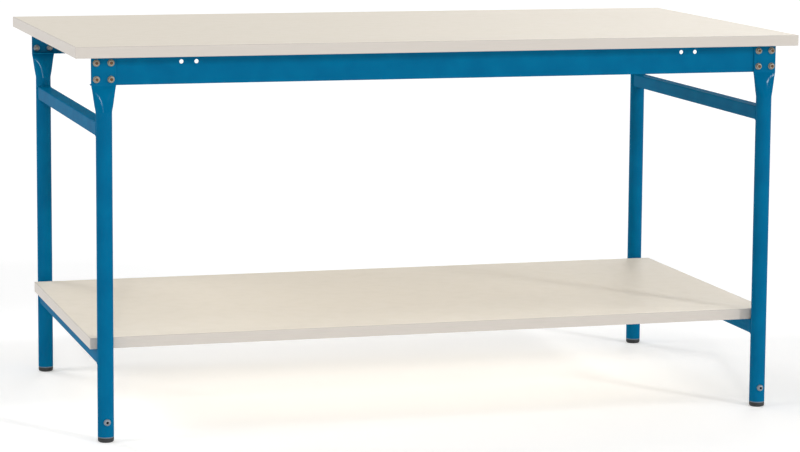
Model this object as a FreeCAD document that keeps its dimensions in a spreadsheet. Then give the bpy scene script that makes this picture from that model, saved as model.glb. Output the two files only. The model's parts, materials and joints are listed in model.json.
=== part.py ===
import FreeCAD, Part
import math
import os
import Sketcher

# Assembly table with a lower shelf, in millimetres.
# +X runs to the right along the table, +Y to the back, +Z up.
# The origin is on the floor, under the middle of the tabletop.
#
# Two welded end frames (a front and a rear leg with two cross rails) are
# joined by two folded steel rails. The round legs are pressed flat at the top,
# and each flat is bolted to the outside of a rail. The tabletop is screwed to
# the rails, the shelf to the lower cross rails. Every leg ends in a threaded
# insert with a levelling foot.

os.makedirs("parts", exist_ok=True)
doc = FreeCAD.newDocument("assembly_table")
sheet = doc.addObject("Spreadsheet::Sheet", "dims")

DRIVING_DIMENSIONS = [
    # overall
    ("table_length", 1500),
    ("table_depth", 800),
    ("table_height", 780),
    # tabletop and shelf boards
    ("top_thickness", 22),
    ("shelf_thickness", 22),
    ("shelf_height", 203),
    ("shelf_reach", 11),
    ("shelf_gap", 5),
    ("band_thickness", 2),
    ("band_edge_radius", 1.5),
    # where the frame stands under the tabletop
    ("end_overhang", 36),
    ("side_overhang", 18),
    # legs
    ("leg_diameter", 32),
    ("leg_wall", 1.5),
    ("flat_margin", 1),
    ("taper_length", 50),
    # folded rails
    ("rail_height", 56),
    ("rail_flange", 35),
    ("rail_lip", 15),
    ("rail_sheet", 2),
    ("rail_bend", 1.5),
    ("accessory_inset", 193),
    ("accessory_pitch", 30),
    ("accessory_hole", 8.5),
    # cross rails
    ("cross_width", 28),
    ("cross_wall", 1.5),
    ("cross_corner", 2.5),
    ("cross_gap", 20.5),
    # corner bolts and nuts
    ("bolt_edge_gap", 3),
    ("bolt_bend_gap", 1.5),
    ("bolt_diameter", 6),
    ("bolt_clearance", 0.6),
    ("bolt_length", 14),
    ("bolt_flats", 10),
    ("bolt_flange", 14),
    ("bolt_flange_edge", 1.1),
    ("bolt_flange_rise", 1),
    ("bolt_head", 6),
    ("bolt_face", 9.6),
    ("bolt_bevel", 0.6),
    ("bolt_dish", 6.4),
    ("bolt_dish_floor", 4.4),
    ("bolt_dish_depth", 1.2),
    ("nut_height", 6),
    ("nut_play", 0.1),
    # wood screws
    ("screw_diameter", 4),
    ("screw_play", 0.4),
    ("screw_head", 9.5),
    ("screw_head_height", 3),
    ("screw_head_rounding", 2),
    ("screw_bite", 13),
    ("screw_row", 24),
    ("top_screw_inset", 90),
    ("shelf_screw_pitch", 240),
    # levelling feet
    ("pad_height", 9),
    ("pad_rounding", 4),
    ("pad_floor", 3),
    ("insert_flange", 2),
    ("insert_length", 42),
    ("insert_play", 0.1),
    ("spindle_diameter", 10),
    ("spindle_play", 0.08),
    ("spindle_length", 47),
    ("spindle_head", 16),
    ("spindle_head_height", 2.6),
    ("spindle_bevel", 1),
    ("pocket_play", 0.3),
    ("foot_screw_height", 41),
    ("foot_screw_diameter", 8),
    ("foot_screw_play", 0.1),
    ("foot_screw_head", 14),
    ("foot_screw_head_height", 4.2),
    ("foot_screw_rounding", 3.8),
    ("foot_screw_gap", 1),
    ("socket_flats", 5),
    ("socket_depth", 2.5),
]

for row, (alias, value) in enumerate(DRIVING_DIMENSIONS, start=1):
    sheet.set(f"A{row}", str(value))
    sheet.setAlias(f"A{row}", alias)
doc.recompute()

TOP_SCREWS = 5
SHELF_SCREWS = 3
SIDES = {"left": -1, "right": 1}
ENDS = {"front": -1, "rear": 1}
ALONG_X = FreeCAD.Vector(1, 0, 0)
ALONG_Y = FreeCAD.Vector(0, 1, 0)
ALONG_Z = FreeCAD.Vector(0, 0, 1)
TOLERANCE = 1e-4

# Sizes that follow from the driving dimensions, as expressions.

BOARD_UNDERSIDE = "(dims.table_height - dims.top_thickness)"
RAIL_LENGTH = "(dims.table_length - 2 * dims.end_overhang)"
RAIL_Z = f"({BOARD_UNDERSIDE} - dims.rail_height / 2)"
FLAT_THICKNESS = "(2 * dims.leg_wall)"
FLAT_WIDTH = f"({FLAT_THICKNESS} + pi * (dims.leg_diameter - {FLAT_THICKNESS}) / 2)"
LEG_X = f"({RAIL_LENGTH} / 2 - {FLAT_WIDTH} / 2)"
LEG_Y = "(dims.table_depth / 2 - dims.side_overhang - dims.leg_diameter / 2)"
WEB_Y = f"({LEG_Y} - dims.leg_wall)"
FLAT_BOTTOM = f"({BOARD_UNDERSIDE} - dims.rail_height - dims.flat_margin)"
ROUND_TOP = f"({FLAT_BOTTOM} - dims.taper_length)"
TUBE_BOTTOM = "(dims.pad_height + dims.insert_flange)"
UPPER_CROSS_Z = f"({ROUND_TOP} - dims.cross_gap - dims.cross_width / 2)"
SHELF_UNDERSIDE = "(dims.shelf_height - dims.shelf_thickness)"
LOWER_CROSS_Z = f"({SHELF_UNDERSIDE} - dims.cross_width / 2)"
SHELF_LENGTH = f"(2 * ({LEG_X} + dims.leg_diameter / 2 + dims.shelf_reach))"
SHELF_DEPTH = f"(2 * ({LEG_Y} - dims.leg_diameter / 2 - dims.shelf_gap))"
BOLT_X = f"({FLAT_WIDTH} / 2 - dims.bolt_flange / 2 - dims.bolt_edge_gap)"
BOLT_Z = (
    "(dims.rail_height / 2 - dims.rail_sheet - dims.rail_bend"
    " - dims.bolt_flange / 2 - dims.bolt_bend_gap)"
)
BOLT_HOLE_RADIUS = "((dims.bolt_diameter + dims.bolt_clearance) / 2)"
SCREW_HOLE_RADIUS = "((dims.screw_diameter + dims.screw_play) / 2)"
SCREW_LINE_Y = f"({WEB_Y} - dims.screw_row)"
TOP_SCREW_PITCH = f"(({RAIL_LENGTH} - 2 * dims.top_screw_inset) / {TOP_SCREWS - 1})"
INSERT_RADIUS = "(dims.leg_diameter / 2 - dims.leg_wall - dims.insert_play)"


def value_of(expression):
    """The present value of an expression, as a plain number."""
    result = sheet.evalExpression(expression)
    return float(getattr(result, "Value", result))


def place(thing, x="0", y="0", z="0", axis=ALONG_Z, angle=0):
    """Turn an object about an axis and bind its position to expressions."""
    thing.Placement = FreeCAD.Placement(FreeCAD.Vector(), FreeCAD.Rotation(axis, angle))
    thing.setExpression("Placement.Base.x", x)
    thing.setExpression("Placement.Base.y", y)
    thing.setExpression("Placement.Base.z", z)


def new_body(label):
    body = doc.addObject("PartDesign::Body", label)
    body.Label = label
    return body


def new_sketch(body, plane, name, offset="0"):
    """A sketch on one of the body's own origin planes, moved along its normal."""
    support = [face for face in body.Origin.OriginFeatures if face.Role == plane][0]
    sketch = body.newObject("Sketcher::SketchObject", name)
    sketch.AttachmentSupport = [(support, "")]
    sketch.MapMode = "FlatFace"
    sketch.setExpression("AttachmentOffset.Base.z", offset)
    return sketch


def bind_point(sketch, line, end, x, y):
    """Hold one point of a sketch at two expressions from its origin."""
    for direction, expression in (("DistanceX", x), ("DistanceY", y)):
        rule = Sketcher.Constraint(direction, -1, 1, line, end, value_of(expression))
        index = sketch.addConstraint(rule)
        sketch.setExpression(f"Constraints[{index}]", expression)


def bind_radius(sketch, line, expression):
    index = sketch.addConstraint(Sketcher.Constraint("Radius", line, value_of(expression)))
    sketch.setExpression(f"Constraints[{index}]", expression)


def draw_outline(sketch, points):
    """A closed outline of straight lines through points given as expressions."""
    corners = [FreeCAD.Vector(value_of(x), value_of(y), 0) for x, y in points]
    count = len(points)
    lines = [
        sketch.addGeometry(Part.LineSegment(corners[k], corners[(k + 1) % count]))
        for k in range(count)
    ]
    for k in range(count):
        sketch.addConstraint(Sketcher.Constraint("Coincident", lines[k], 2, lines[(k + 1) % count], 1))
        bind_point(sketch, lines[k], 1, *points[k])


def draw_rectangle(sketch, width, height):
    """A rectangle centred on the sketch's origin."""
    right, top = f"({width}) / 2", f"({height}) / 2"
    draw_outline(sketch, [(f"-{right}", f"-{top}"), (right, f"-{top}"), (right, top), (f"-{right}", top)])


def draw_circle(sketch, x, y, radius):
    centre = FreeCAD.Vector(value_of(x), value_of(y), 0)
    circle = sketch.addGeometry(Part.Circle(centre, ALONG_Z, value_of(radius)))
    bind_point(sketch, circle, 3, x, y)
    bind_radius(sketch, circle, radius)


def draw_hexagon(sketch, flats):
    """A hexagon centred on the sketch's origin, given its width across flats."""
    corner = f"({flats}) / (2 * cos(30 deg))"
    sides = 6
    turn = 360 / sides
    draw_outline(
        sketch,
        [(f"{corner} * cos({k * turn} deg)", f"{corner} * sin({k * turn} deg)") for k in range(sides)],
    )


def arc_between(centre, radius, first, last):
    """An arc of a circle between two angles in degrees, anticlockwise."""
    circle = Part.Circle(centre, ALONG_Z, radius)
    return Part.ArcOfCircle(circle, math.radians(first), math.radians(last))


def draw_oval(sketch, depth, girth, half_angle):
    """A four-centre oval whose girth is that of the round tube it is pressed from.

    depth is its small width along Y, half_angle the half angle in degrees that
    its two wide arcs span. With the girth held, both radii follow from the two.
    """
    turn = math.radians(half_angle)
    rise = 1 - math.cos(turn)
    rest = math.pi / 2 - turn
    share = rise * rest - turn * math.cos(turn)
    narrow = f"(({rise} * {girth} / 4 - {turn} * {depth} / 2) / {share})"
    wide = f"(({rest} * {depth} / 2 - {math.cos(turn)} * {girth} / 4) / {share})"
    join_x = f"({wide} * {math.sin(turn)})"
    join_y = f"({depth} / 2 - {wide} * {rise})"
    narrow_radius, wide_radius = value_of(narrow), value_of(wide)
    narrow_x = value_of(join_x) - narrow_radius * math.sin(turn)
    wide_y = wide_radius - value_of(depth) / 2
    right, back, left, front = (
        sketch.addGeometry(arc_between(FreeCAD.Vector(x, y, 0), radius, first, last))
        for x, y, radius, first, last in (
            (narrow_x, 0, narrow_radius, half_angle - 90, 90 - half_angle),
            (0, -wide_y, wide_radius, 90 - half_angle, 90 + half_angle),
            (-narrow_x, 0, narrow_radius, 90 + half_angle, 270 - half_angle),
            (0, wide_y, wide_radius, 270 - half_angle, 270 + half_angle),
        )
    )
    for before, after in ((right, back), (back, left), (left, front), (front, right)):
        sketch.addConstraint(Sketcher.Constraint("Coincident", before, 2, after, 1))
    bind_point(sketch, right, 2, join_x, join_y)
    bind_point(sketch, back, 2, f"-{join_x}", join_y)
    bind_point(sketch, left, 2, f"-{join_x}", f"-{join_y}")
    bind_point(sketch, front, 2, join_x, f"-{join_y}")
    for arc, radius in ((right, narrow), (left, narrow), (back, wide), (front, wide)):
        bind_radius(sketch, arc, radius)


def draw_slot(sketch, width, depth):
    """A slot with round ends, centred on the sketch's origin and long in X."""
    reach = f"(({width}) - ({depth})) / 2"
    x, radius = value_of(reach), value_of(depth) / 2
    quadrants = ((1, 1), (-1, 1), (-1, -1), (1, -1))
    corners = [FreeCAD.Vector(side * x, face * radius, 0) for side, face in quadrants]
    right = sketch.addGeometry(arc_between(FreeCAD.Vector(x, 0, 0), radius, -90, 90))
    back = sketch.addGeometry(Part.LineSegment(corners[0], corners[1]))
    left = sketch.addGeometry(arc_between(FreeCAD.Vector(-x, 0, 0), radius, 90, 270))
    front = sketch.addGeometry(Part.LineSegment(corners[2], corners[3]))
    for before, after in ((right, back), (back, left), (left, front), (front, right)):
        sketch.addConstraint(Sketcher.Constraint("Coincident", before, 2, after, 1))
    for arc, centre in ((right, reach), (left, f"-{reach}")):
        bind_point(sketch, arc, 3, centre, "0")
        bind_radius(sketch, arc, f"({depth}) / 2")
        for end in (1, 2):
            rule = Sketcher.Constraint("DistanceX", -1, 1, arc, end, value_of(centre))
            index = sketch.addConstraint(rule)
            sketch.setExpression(f"Constraints[{index}]", centre)


def pad(body, sketch, length, name, centred=False, down=False):
    feature = body.newObject("PartDesign::Pad", name)
    feature.Profile = sketch
    feature.setExpression("Length", length)
    feature.SideType = "Symmetric" if centred else "One side"
    feature.Reversed = down
    return feature


def cut_through(body, sketch, name):
    """A pocket through all, both ways from its sketch."""
    feature = body.newObject("PartDesign::Pocket", name)
    feature.Profile = sketch
    feature.Type = "ThroughAll"
    feature.SideType = "Symmetric"
    return feature


def cut_depth(body, sketch, depth, name, reversed_way=False):
    """A pocket of stated depth, against the sketch's normal unless reversed."""
    feature = body.newObject("PartDesign::Pocket", name)
    feature.Profile = sketch
    feature.Type = "Length"
    feature.setExpression("Length", depth)
    feature.Reversed = reversed_way
    return feature


def turn_profile(body, points, name, cut=False):
    """Revolve an outline of (radius, height) expressions about the body's Z axis."""
    sketch = new_sketch(body, "XZ_Plane", f"{name}_profile")
    draw_outline(sketch, points)
    kind = "PartDesign::Groove" if cut else "PartDesign::Revolution"
    feature = body.newObject(kind, name)
    feature.Profile = sketch
    feature.ReferenceAxis = (sketch, ["V_Axis"])
    feature.Angle = 360
    return feature


def near(a, b):
    return abs(a - b) < TOLERANCE


def edges_along(shape, directions, test):
    """Names of the edges along one of the directions whose two ends pass the test."""
    names = []
    for number, edge in enumerate(shape.Edges, start=1):
        ends = [vertex.Point for vertex in edge.Vertexes]
        if len(ends) != 2 or not all(test(point) for point in ends):
            continue
        run = (ends[1] - ends[0]).normalize()
        if any(near(abs(run.dot(direction)), 1) for direction in directions):
            names.append(f"Edge{number}")
    return names


def rims_at(shape, height, radius):
    """Names of the full circles of one radius that lie at one height."""
    return [
        f"Edge{number}"
        for number, edge in enumerate(shape.Edges, start=1)
        if len(edge.Vertexes) == 1
        and near(edge.Vertexes[0].Z, height)
        and near(edge.Length, 2 * math.pi * radius)
    ]


def round_edges(body, base, edges, radius, name):
    feature = body.newObject("PartDesign::Fillet", name)
    feature.Base = (base, edges)
    feature.setExpression("Radius", radius)
    return feature


# Boards: a core panel and four edge bands, for the tabletop and for the shelf.


def make_panel(label, length, depth, thickness, underside, pilot_holes):
    """A board's core, with blind pilot holes for the screws in its underside."""
    body = new_body(label)
    core = new_sketch(body, "XY_Plane", f"{label}_core")
    draw_rectangle(core, f"{length} - 2 * dims.band_thickness", f"{depth} - 2 * dims.band_thickness")
    pad(body, core, thickness, f"{label}_pad")
    holes = new_sketch(body, "XY_Plane", f"{label}_pilot_holes")
    for x, y in pilot_holes:
        draw_circle(holes, x, y, SCREW_HOLE_RADIUS)
    cut_depth(body, holes, "dims.screw_bite + dims.screw_play", f"{label}_holes", reversed_way=True)
    place(body, z=underside)
    return body


def make_edge_band(label, run, thickness, x, y, z, angle, square_ends):
    """A strip that runs along local X with its shown face towards local -Y."""
    body = new_body(label)
    strip = new_sketch(body, "XY_Plane", f"{label}_strip")
    draw_rectangle(strip, run, "dims.band_thickness")
    block = pad(body, strip, thickness, f"{label}_pad")
    doc.recompute()
    shown = -value_of("dims.band_thickness") / 2
    directions = [ALONG_X] if square_ends else [ALONG_X, ALONG_Z]
    edges = edges_along(block.Shape, directions, lambda point: near(point.y, shown))
    round_edges(body, block, edges, "dims.band_edge_radius", f"{label}_rounding")
    place(body, x, y, z, ALONG_Z, angle)
    return body


def make_board(board, length, depth, thickness, underside, pilot_holes):
    panel = make_panel(f"{board}_panel", length, depth, thickness, underside, pilot_holes)
    bands = []
    for end, sign in ENDS.items():
        y = f"{sign} * ({depth} - dims.band_thickness) / 2"
        angle = 0 if sign < 0 else 180
        bands.append(make_edge_band(
            f"{board}_edge_{end}", length, thickness, "0", y, underside, angle, square_ends=False,
        ))
    for side, sign in SIDES.items():
        x = f"{sign} * ({length} - dims.band_thickness) / 2"
        angle = 90 if sign > 0 else 270
        bands.append(make_edge_band(
            f"{board}_edge_{side}", f"({depth} - 2 * dims.band_thickness)", thickness,
            x, "0", underside, angle, square_ends=True,
        ))
    return [panel] + bands


# Legs: a round tube, pressed flat at the top. The girth of the tube stays the
# same all the way, so it grows wider as it gets thinner.

TAPER_STATIONS = 5
ROUND_HALF_ANGLE = 45
EVEN_SHARE = 0.75
LATE_POWER = 4


def pressed_share(rise):
    """How much of the flattening is done at a share of the taper's height.

    Most of it grows evenly with height, the rest comes close to the flat.
    """
    return EVEN_SHARE * rise + (1 - EVEN_SHARE) * rise ** LATE_POWER


def oval_sections(body, label, girth, full_depth, flat_depth):
    """Ovals up the taper, from the round tube towards the flat."""
    sections = []
    for station in range(TAPER_STATIONS):
        rise = station / TAPER_STATIONS
        depth = f"({full_depth} - {pressed_share(rise)} * ({full_depth} - {flat_depth}))"
        height = f"{ROUND_TOP} + {rise} * dims.taper_length"
        sketch = new_sketch(body, "XY_Plane", f"{label}_{station}", height)
        draw_oval(sketch, depth, girth, ROUND_HALF_ANGLE * (1 - rise))
        sections.append(sketch)
    return sections


def make_leg(label, x, y, angle):
    body = new_body(label)
    tube = new_sketch(body, "XY_Plane", f"{label}_tube", TUBE_BOTTOM)
    draw_circle(tube, "0", "0", "dims.leg_diameter / 2")
    pad(body, tube, f"{ROUND_TOP} - {TUBE_BOTTOM}", f"{label}_round")

    outer = oval_sections(
        body, f"{label}_outer", "(pi * dims.leg_diameter)", "dims.leg_diameter", FLAT_THICKNESS,
    )
    top = new_sketch(body, "XY_Plane", f"{label}_flat_section", FLAT_BOTTOM)
    draw_slot(top, FLAT_WIDTH, FLAT_THICKNESS)
    taper = body.newObject("PartDesign::AdditiveLoft", f"{label}_taper")
    taper.Profile = outer[0]
    taper.Sections = outer[1:] + [top]

    flat = new_sketch(body, "XY_Plane", f"{label}_flat", FLAT_BOTTOM)
    draw_slot(flat, FLAT_WIDTH, FLAT_THICKNESS)
    pad(body, flat, "dims.rail_height + dims.flat_margin", f"{label}_flat_pad")

    bore = new_sketch(body, "XY_Plane", f"{label}_bore", TUBE_BOTTOM)
    draw_circle(bore, "0", "0", "dims.leg_diameter / 2 - dims.leg_wall")
    cut_depth(body, bore, f"{ROUND_TOP} - {TUBE_BOTTOM}", f"{label}_bore_cut", reversed_way=True)

    inner = oval_sections(
        body, f"{label}_inner", "(pi * (dims.leg_diameter - 2 * dims.leg_wall))",
        "(dims.leg_diameter - 2 * dims.leg_wall)", "0",
    )
    cavity = body.newObject("PartDesign::SubtractiveLoft", f"{label}_cavity")
    cavity.Profile = inner[0]
    cavity.Sections = inner[1:]

    bolt_holes = new_sketch(body, "XZ_Plane", f"{label}_bolt_holes")
    for side in SIDES.values():
        for level in SIDES.values():
            draw_circle(bolt_holes, f"{side} * {BOLT_X}", f"{RAIL_Z} + {level} * {BOLT_Z}", BOLT_HOLE_RADIUS)
    cut_through(body, bolt_holes, f"{label}_bolt_cut")

    screw_hole = new_sketch(body, "XZ_Plane", f"{label}_screw_hole")
    draw_circle(
        screw_hole, "0", "dims.foot_screw_height", "dims.foot_screw_diameter / 2 + dims.foot_screw_play",
    )
    cut_depth(body, screw_hole, "dims.leg_diameter", f"{label}_screw_cut", reversed_way=True)
    place(body, x, y, "0", ALONG_Z, angle)
    return body


# Rails: folded from sheet, open towards the inside of the table. The wide top
# flange carries the tabletop, the short lip below leaves room for a driver.


def make_rail(label, y, angle):
    body = new_body(label)
    half, sheet_t = "dims.rail_height / 2", "dims.rail_sheet"
    profile = new_sketch(body, "YZ_Plane", f"{label}_profile")
    draw_outline(profile, [
        ("0", f"-{half}"), ("dims.rail_lip", f"-{half}"),
        ("dims.rail_lip", f"{sheet_t} - {half}"), (sheet_t, f"{sheet_t} - {half}"),
        (sheet_t, f"{half} - {sheet_t}"), ("dims.rail_flange", f"{half} - {sheet_t}"),
        ("dims.rail_flange", half), ("0", half),
    ])
    folded = pad(body, profile, RAIL_LENGTH, f"{label}_pad", centred=True)
    doc.recompute()
    thickness, level = value_of(sheet_t), value_of(half)
    outer = edges_along(
        folded.Shape, [ALONG_X], lambda point: near(point.y, 0) and near(abs(point.z), level),
    )
    bent = round_edges(body, folded, outer, "dims.rail_bend + dims.rail_sheet", f"{label}_outer_bend")
    doc.recompute()
    inner = edges_along(
        bent.Shape, [ALONG_X],
        lambda point: near(point.y, thickness) and near(abs(point.z), level - thickness),
    )
    round_edges(body, bent, inner, "dims.rail_bend", f"{label}_inner_bend")

    web_holes = new_sketch(body, "XZ_Plane", f"{label}_web_holes")
    for end in SIDES.values():
        for side in SIDES.values():
            bolt_x = f"{end} * {LEG_X} + {side} * {BOLT_X}"
            for row in SIDES.values():
                draw_circle(web_holes, bolt_x, f"{row} * {BOLT_Z}", BOLT_HOLE_RADIUS)
            accessory_x = (
                f"{end} * ({RAIL_LENGTH} / 2 - dims.accessory_inset) + {side} * dims.accessory_pitch / 2"
            )
            draw_circle(web_holes, accessory_x, BOLT_Z, "dims.accessory_hole / 2")
    cut_through(body, web_holes, f"{label}_web_cut")

    flange_holes = new_sketch(body, "XY_Plane", f"{label}_flange_holes")
    for x in top_screw_positions():
        draw_circle(flange_holes, x, "dims.screw_row", SCREW_HOLE_RADIUS)
    cut_through(body, flange_holes, f"{label}_flange_cut")
    place(body, "0", y, RAIL_Z, ALONG_Z, angle)
    return body


def top_screw_positions():
    return [f"({k - (TOP_SCREWS - 1) / 2} * {TOP_SCREW_PITCH})" for k in range(TOP_SCREWS)]


def shelf_screw_positions():
    return [f"({k - (SHELF_SCREWS - 1) / 2} * dims.shelf_screw_pitch)" for k in range(SHELF_SCREWS)]


# Cross rails: square tube between a front and a rear leg, coped to fit the
# round legs it is welded to.


def make_cross_rail(label, x, z, screw_holes):
    body = new_body(label)
    outside = new_sketch(body, "XZ_Plane", f"{label}_outside")
    draw_rectangle(outside, "dims.cross_width", "dims.cross_width")
    bar = pad(body, outside, f"2 * {LEG_Y}", f"{label}_pad", centred=True)
    doc.recompute()
    half = value_of("dims.cross_width") / 2
    corners_along = edges_along(bar.Shape, [ALONG_Y], lambda point: near(abs(point.x), half))
    round_edges(body, bar, corners_along, "dims.cross_corner", f"{label}_corners")
    inside = new_sketch(body, "XZ_Plane", f"{label}_inside")
    hollow = "dims.cross_width - 2 * dims.cross_wall"
    draw_rectangle(inside, hollow, hollow)
    cut_through(body, inside, f"{label}_hollow")
    cope = new_sketch(body, "XY_Plane", f"{label}_cope")
    for end in ENDS.values():
        draw_circle(cope, "0", f"{end} * {LEG_Y}", "dims.leg_diameter / 2")
    cut_through(body, cope, f"{label}_cope_cut")
    if screw_holes:
        holes = new_sketch(body, "XY_Plane", f"{label}_screw_holes")
        for y in shelf_screw_positions():
            draw_circle(holes, "0", y, SCREW_HOLE_RADIUS)
        cut_through(body, holes, f"{label}_screw_cut")
    place(body, x, "0", z)
    return body


# Fasteners. Each one is drawn once, its head below z = 0 and its shank along
# +Z, and then repeated where it belongs.


def make_flange_bolt():
    """Hexagon flange bolt with a dished head."""
    body = new_body("flange_bolt")
    head = new_sketch(body, "XY_Plane", "bolt_hexagon")
    draw_hexagon(head, "dims.bolt_flats")
    pad(body, head, "dims.bolt_head", "bolt_hexagon_pad", down=True)
    flange_top = "-dims.bolt_flange_edge - dims.bolt_flange_rise"
    turn_profile(body, [
        ("0", "0"), ("dims.bolt_flange / 2", "0"), ("dims.bolt_flange / 2", "-dims.bolt_flange_edge"),
        ("dims.bolt_flats / 2", flange_top), ("0", flange_top),
    ], "bolt_flange_turn")
    corner = "dims.bolt_flats / (2 * cos(30 deg))"
    turn_profile(body, [
        ("dims.bolt_face / 2", "-dims.bolt_head"), (corner, "-dims.bolt_head"),
        (corner, "dims.bolt_bevel - dims.bolt_head"),
    ], "bolt_corner_chamfer", cut=True)
    turn_profile(body, [
        ("0", "-dims.bolt_head"), ("dims.bolt_dish / 2", "-dims.bolt_head"),
        ("dims.bolt_dish_floor / 2", "dims.bolt_dish_depth - dims.bolt_head"),
        ("0", "dims.bolt_dish_depth - dims.bolt_head"),
    ], "bolt_dish_turn", cut=True)
    shank = new_sketch(body, "XY_Plane", "bolt_shank")
    draw_circle(shank, "0", "0", "dims.bolt_diameter / 2")
    pad(body, shank, "dims.bolt_length", "bolt_shank_pad")
    return body


def make_flange_nut():
    """Hexagon flange nut, its flange on z = 0 and its body above."""
    body = new_body("flange_nut")
    hexagon = new_sketch(body, "XY_Plane", "nut_hexagon")
    draw_hexagon(hexagon, "dims.bolt_flats")
    pad(body, hexagon, "dims.nut_height", "nut_hexagon_pad")
    flange_top = "dims.bolt_flange_edge + dims.bolt_flange_rise"
    turn_profile(body, [
        ("0", "0"), ("dims.bolt_flange / 2", "0"), ("dims.bolt_flange / 2", "dims.bolt_flange_edge"),
        ("dims.bolt_flats / 2", flange_top), ("0", flange_top),
    ], "nut_flange_turn")
    bore = new_sketch(body, "XY_Plane", "nut_bore")
    draw_circle(bore, "0", "0", "dims.bolt_diameter / 2 + dims.nut_play")
    cut_through(body, bore, "nut_bore_cut")
    return body


def make_wood_screw(name, reach):
    """Pan-head wood screw whose shank crosses reach before it bites the board."""
    body = new_body(name)
    radius, head = "dims.screw_diameter / 2", "dims.screw_head / 2"
    tip = f"{reach} + dims.screw_bite"
    turned = turn_profile(body, [
        ("0", "-dims.screw_head_height"), (head, "-dims.screw_head_height"), (head, "0"),
        (radius, "0"), (radius, f"{tip} - dims.screw_diameter"), ("0", tip),
    ], f"{name}_turn")
    doc.recompute()
    rim = rims_at(turned.Shape, -value_of("dims.screw_head_height"), value_of(head))
    round_edges(body, turned, rim, "dims.screw_head_rounding", f"{name}_pan")
    return body


def make_foot_screw():
    """Button-head socket screw that fixes a foot insert in its leg."""
    body = new_body("foot_screw")
    radius, head = "dims.foot_screw_diameter / 2", "dims.foot_screw_head / 2"
    rise = "dims.foot_screw_head_height"
    tip = "dims.leg_diameter / 2 - dims.spindle_diameter / 2 - dims.foot_screw_gap"
    turned = turn_profile(body, [
        ("0", f"-{rise}"), (head, f"-{rise}"), (head, "0"), (radius, "0"), (radius, tip), ("0", tip),
    ], "foot_screw_turn")
    doc.recompute()
    rim = rims_at(turned.Shape, -value_of(rise), value_of(head))
    round_edges(body, turned, rim, "dims.foot_screw_rounding", "foot_screw_dome")
    socket = new_sketch(body, "XY_Plane", "foot_screw_socket", f"-{rise}")
    draw_hexagon(socket, "dims.socket_flats")
    cut_depth(body, socket, "dims.socket_depth", "foot_screw_socket_cut", reversed_way=True)
    return body


def make_group(label, master, places):
    """One node that holds the same fastener at several places."""
    links = []
    for number, (x, y, z, axis, angle) in enumerate(places, start=1):
        link = doc.addObject("App::Link", f"{label}_{number}")
        link.LinkedObject = master
        place(link, x, y, z, axis, angle)
        links.append(link)
    group = doc.addObject("Part::Compound", label)
    group.Label = label
    group.Links = links
    return group


# Levelling feet: a threaded insert in the tube's end, a spindle that turns in
# it, and a pad on the floor that the spindle's head swivels in.


def make_foot_insert(label, x, y, angle):
    body = new_body(label)
    outside, inside = INSERT_RADIUS, "dims.spindle_diameter / 2"
    bottom, shoulder = "dims.pad_height", TUBE_BOTTOM
    top = f"{TUBE_BOTTOM} + dims.insert_length"
    turn_profile(body, [
        (inside, bottom), ("dims.leg_diameter / 2", bottom), ("dims.leg_diameter / 2", shoulder),
        (outside, shoulder), (outside, f"{top} - dims.insert_flange"),
        (f"{outside} - dims.insert_flange / 2", top), (inside, top),
    ], f"{label}_turn")
    cross = new_sketch(body, "XZ_Plane", f"{label}_cross_hole")
    draw_circle(
        cross, "0", "dims.foot_screw_height", "dims.foot_screw_diameter / 2 + dims.foot_screw_play",
    )
    cut_depth(body, cross, "dims.leg_diameter", f"{label}_cross_cut", reversed_way=True)
    place(body, x, y, "0", ALONG_Z, angle)
    return body


def make_foot_spindle(label, x, y):
    body = new_body(label)
    radius = "(dims.spindle_diameter / 2 - dims.spindle_play)"
    bottom = "dims.pad_floor"
    shoulder = "dims.pad_floor + dims.spindle_head_height"
    top = "dims.pad_floor + dims.spindle_length"
    bevel = "dims.spindle_bevel"
    turn_profile(body, [
        ("0", bottom), (f"dims.spindle_head / 2 - {bevel}", bottom),
        ("dims.spindle_head / 2", f"{bottom} + {bevel}"), ("dims.spindle_head / 2", shoulder),
        (radius, shoulder), (radius, f"{top} - {bevel}"), (f"{radius} - {bevel}", top), ("0", top),
    ], f"{label}_turn")
    place(body, x, y)
    return body


def make_foot_pad(label, x, y):
    body = new_body(label)
    neck = "dims.spindle_diameter / 2 + dims.pocket_play"
    pocket = "dims.spindle_head / 2 + dims.pocket_play"
    ceiling = "dims.pad_floor + dims.spindle_head_height + dims.pocket_play"
    outside = "dims.leg_diameter / 2"
    turned = turn_profile(body, [
        ("0", "0"), (outside, "0"), (outside, "dims.pad_height"), (neck, "dims.pad_height"),
        (neck, ceiling), (pocket, ceiling), (pocket, "dims.pad_floor"), ("0", "dims.pad_floor"),
    ], f"{label}_turn")
    doc.recompute()
    rim = rims_at(turned.Shape, 0, value_of(outside))
    round_edges(body, turned, rim, "dims.pad_rounding", f"{label}_rim")
    place(body, x, y)
    return body


# The assembly. Front legs face the front, rear legs are turned to face the back.

nodes = []
corners = [
    (f"{end}_{side}", f"{side_sign} * {LEG_X}", f"{end_sign} * {LEG_Y}", end_sign)
    for end, end_sign in ENDS.items()
    for side, side_sign in SIDES.items()
]

top_pilots = [(x, f"{end} * {SCREW_LINE_Y}") for end in ENDS.values() for x in top_screw_positions()]
shelf_pilots = [(f"{side} * {LEG_X}", y) for side in SIDES.values() for y in shelf_screw_positions()]
nodes += make_board(
    "tabletop", "dims.table_length", "dims.table_depth", "dims.top_thickness", BOARD_UNDERSIDE, top_pilots,
)
nodes += make_board(
    "shelf", SHELF_LENGTH, SHELF_DEPTH, "dims.shelf_thickness", SHELF_UNDERSIDE, shelf_pilots,
)

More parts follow.
